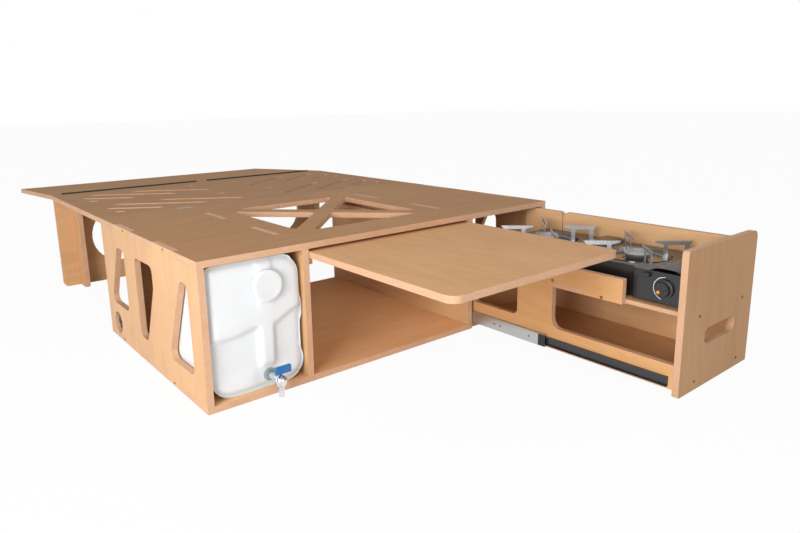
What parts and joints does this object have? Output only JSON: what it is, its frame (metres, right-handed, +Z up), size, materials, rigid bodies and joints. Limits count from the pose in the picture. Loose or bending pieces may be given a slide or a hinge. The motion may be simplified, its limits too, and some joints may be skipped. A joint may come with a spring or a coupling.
{
  "type": "camper van kitchen box",
  "caption": "Plywood bed base for a van with a fold-out bed, a sliding table, a pull-out stove drawer and a water canister with a tap.",
  "frame": {"origin": "the middle of the underside of the cabinet's bottom panel, on the floor", "axes": "+Z up; -Y is the front, where the drawer and the table pull out; +X is to the right, seen from the front, so +Y runs along the bed"},
  "size_m": [1.4277, 2.6495, 0.4093],
  "materials": {
    "side_panel_left": "clear-lacquered birch plywood",
    "side_panel_right": "clear-lacquered birch plywood",
    "divider_left": "clear-lacquered birch plywood",
    "divider_right": "clear-lacquered birch plywood",
    "canister_back_panel": "clear-lacquered birch plywood",
    "top_panel": "clear-lacquered birch plywood",
    "bottom_panel": "clear-lacquered birch plywood",
    "bed_board_middle": "clear-lacquered birch plywood",
    "bed_board_end": "clear-lacquered birch plywood",
    "stand_panel": "clear-lacquered birch plywood",
    "stand_fin_left": "clear-lacquered birch plywood",
    "stand_fin_right": "clear-lacquered birch plywood",
    "table_board": "clear-lacquered birch plywood",
    "table_runner_left": "clear-lacquered birch plywood",
    "table_runner_right": "clear-lacquered birch plywood",
    "drawer_side_left": "clear-lacquered birch plywood",
    "drawer_side_right": "clear-lacquered birch plywood",
    "drawer_bottom": "clear-lacquered birch plywood",
    "drawer_back": "clear-lacquered birch plywood",
    "stove_shelf": "clear-lacquered birch plywood",
    "drawer_front": "clear-lacquered birch plywood",
    "hinge_steel": "zinc plated",
    "hinge_black": "matt black lacquer",
    "black_plastic": "moulded, matt black",
    "slide_zinc": "zinc plated",
    "slide_black": "black plated",
    "canister_white": "milky white blow-moulded",
    "tap_blue": "bright blue",
    "tap_metal": "polished",
    "stove_enamel": "glossy black",
    "stove_pan": "black enamel",
    "burner_metal": "cast, satin",
    "pan_support_steel": "bright nickel plated",
    "cartridge_paint": "plain printed tin"
  },
  "bodies": {
    "cabinet": {"side_panel_left": "side_panel_left", "side_panel_right": "side_panel_right", "divider_left": "divider_left", "divider_right": "divider_right", "canister_back_panel": "canister_back_panel", "top_panel": "top_panel", "bottom_panel": "bottom_panel", "lift_hinge_left_cabinet_leaf": "hinge_steel", "lift_hinge_right_cabinet_leaf": "hinge_steel", "clamp_plate_left": "black_plastic", "clamp_plate_right": "black_plastic", "table_runner_left": "table_runner_left", "table_runner_right": "table_runner_right", "slide_outer_left": "slide_zinc", "slide_outer_right": "slide_zinc"},
    "bed_middle": {"bed_board_middle": "bed_board_middle", "lift_hinge_left_bed_leaf": "hinge_steel", "lift_hinge_right_bed_leaf": "hinge_steel", "fold_hinge_left_middle_leaf": "hinge_black", "fold_hinge_right_middle_leaf": "hinge_black"},
    "bed_end": {"bed_board_end": "bed_board_end", "fold_hinge_left_end_leaf": "hinge_black", "fold_hinge_right_end_leaf": "hinge_black"},
    "leg_stand": {"stand_panel": "stand_panel", "stand_fin_left": "stand_fin_left", "stand_fin_right": "stand_fin_right"},
    "table": {"table_board": "table_board"},
    "drawer": {"drawer_side_left": "drawer_side_left", "drawer_side_right": "drawer_side_right", "drawer_bottom": "drawer_bottom", "drawer_back": "drawer_back", "stove_shelf": "stove_shelf", "drawer_front": "drawer_front", "slide_inner_left": "slide_black", "slide_inner_right": "slide_black", "front_stove_case": "stove_enamel", "front_stove_drip_pan": "stove_pan", "front_stove_burner": "burner_metal", "front_stove_pan_supports": "pan_support_steel", "front_stove_gas_cartridge": "cartridge_paint", "rear_stove_case": "stove_enamel", "rear_stove_drip_pan": "stove_pan", "rear_stove_burner": "burner_metal", "rear_stove_pan_supports": "pan_support_steel", "rear_stove_gas_cartridge": "cartridge_paint"},
    "slide_middle": {"slide_middle_left": "slide_zinc", "slide_middle_right": "slide_zinc"},
    "canister": {"canister": "canister_white", "tap_gasket": "tap_blue", "tap_body": "tap_metal"},
    "canister_cap": {"canister_cap": "canister_white"},
    "tap_lever": {"tap_lever": "tap_blue"},
    "clamp_knob_left": {"clamp_knob_left": "black_plastic"},
    "clamp_knob_right": {"clamp_knob_right": "black_plastic"},
    "front_stove_lid": {"front_stove_cartridge_lid": "stove_enamel"},
    "front_stove_dial": {"front_stove_dial": "black_plastic"},
    "front_stove_lock": {"front_stove_lock_lever": "black_plastic"},
    "rear_stove_lid": {"rear_stove_cartridge_lid": "stove_enamel"},
    "rear_stove_dial": {"rear_stove_dial": "black_plastic"},
    "rear_stove_lock": {"rear_stove_lock_lever": "black_plastic"}
  },
  "joints": [
    {"name": "bed_lift", "type": "hinge", "parent": "cabinet", "child": "bed_middle", "pos_m": [0, 0.41015, 0.40415], "axis": [1, 0, 0], "range_deg": [0, 176]},
    {"name": "end_fold", "type": "hinge", "parent": "bed_middle", "child": "bed_end", "pos_m": [0, 1.165, 0.4068], "axis": [1, 0, 0], "range_deg": [0, 180]},
    {"name": "leg_stand_shift", "type": "slide", "parent": "cabinet", "child": "leg_stand", "axis": [0, -1, 0], "range_m": [0, 0.6]},
    {"name": "table_slide", "type": "slide", "parent": "cabinet", "child": "table", "axis": [0, -1, 0], "range_m": [-0.56, 0]},
    {"name": "drawer_slide", "type": "slide", "parent": "cabinet", "child": "drawer", "axis": [0, -1, 0], "range_m": [-0.7105, 0]},
    {"name": "slide_middle_run", "type": "slide", "parent": "cabinet", "child": "slide_middle", "axis": [0, -1, 0], "range_m": [-0.3202, 0]},
    {"name": "canister_slide", "type": "slide", "parent": "cabinet", "child": "canister", "axis": [0, -1, 0], "range_m": [0, 0.33]},
    {"name": "canister_cap_turn", "type": "hinge", "parent": "canister", "child": "canister_cap", "pos_m": [-0.48523, -0.404, 0.30806], "axis": [0, 1, 0], "continuous": true},
    {"name": "tap_lever_turn", "type": "hinge", "parent": "canister", "child": "tap_lever", "pos_m": [-0.48523, -0.454, 0.0703], "axis": [0, 0, 1], "range_deg": [0, 90]},
    {"name": "clamp_knob_left_turn", "type": "hinge", "parent": "cabinet", "child": "clamp_knob_left", "pos_m": [-0.6605, 0.318, 0.057], "axis": [1, 0, 0], "continuous": true},
    {"name": "clamp_knob_right_turn", "type": "hinge", "parent": "cabinet", "child": "clamp_knob_right", "pos_m": [0.6605, 0.318, 0.057], "axis": [1, 0, 0], "continuous": true},
    {"name": "front_stove_lid_lift", "type": "hinge", "parent": "drawer", "child": "front_stove_lid", "pos_m": [0.6027, -1.0635, 0.3206], "axis": [0, 1, 0], "range_deg": [0, 85]},
    {"name": "front_stove_dial_turn", "type": "hinge", "parent": "drawer", "child": "front_stove_dial", "pos_m": [0.3284, -1.0625, 0.2773], "axis": [1, 0, 0], "range_deg": [0, 120]},
    {"name": "front_stove_lock_slide", "type": "slide", "parent": "drawer", "child": "front_stove_lock", "axis": [0, 0, -1], "range_m": [0, 0.012]},
    {"name": "rear_stove_lid_lift", "type": "hinge", "parent": "drawer", "child": "rear_stove_lid", "pos_m": [0.6027, -0.7415, 0.3206], "axis": [0, 1, 0], "range_deg": [0, 85]},
    {"name": "rear_stove_dial_turn", "type": "hinge", "parent": "drawer", "child": "rear_stove_dial", "pos_m": [0.3284, -0.7405, 0.2773], "axis": [1, 0, 0], "range_deg": [0, 120]},
    {"name": "rear_stove_lock_slide", "type": "slide", "parent": "drawer", "child": "rear_stove_lock", "axis": [0, 0, -1], "range_m": [0, 0.012]}
  ],
  "couplings": [
    {"joint": "slide_middle_run", "follows": "drawer_slide", "ratio": 0.45}
  ]
}
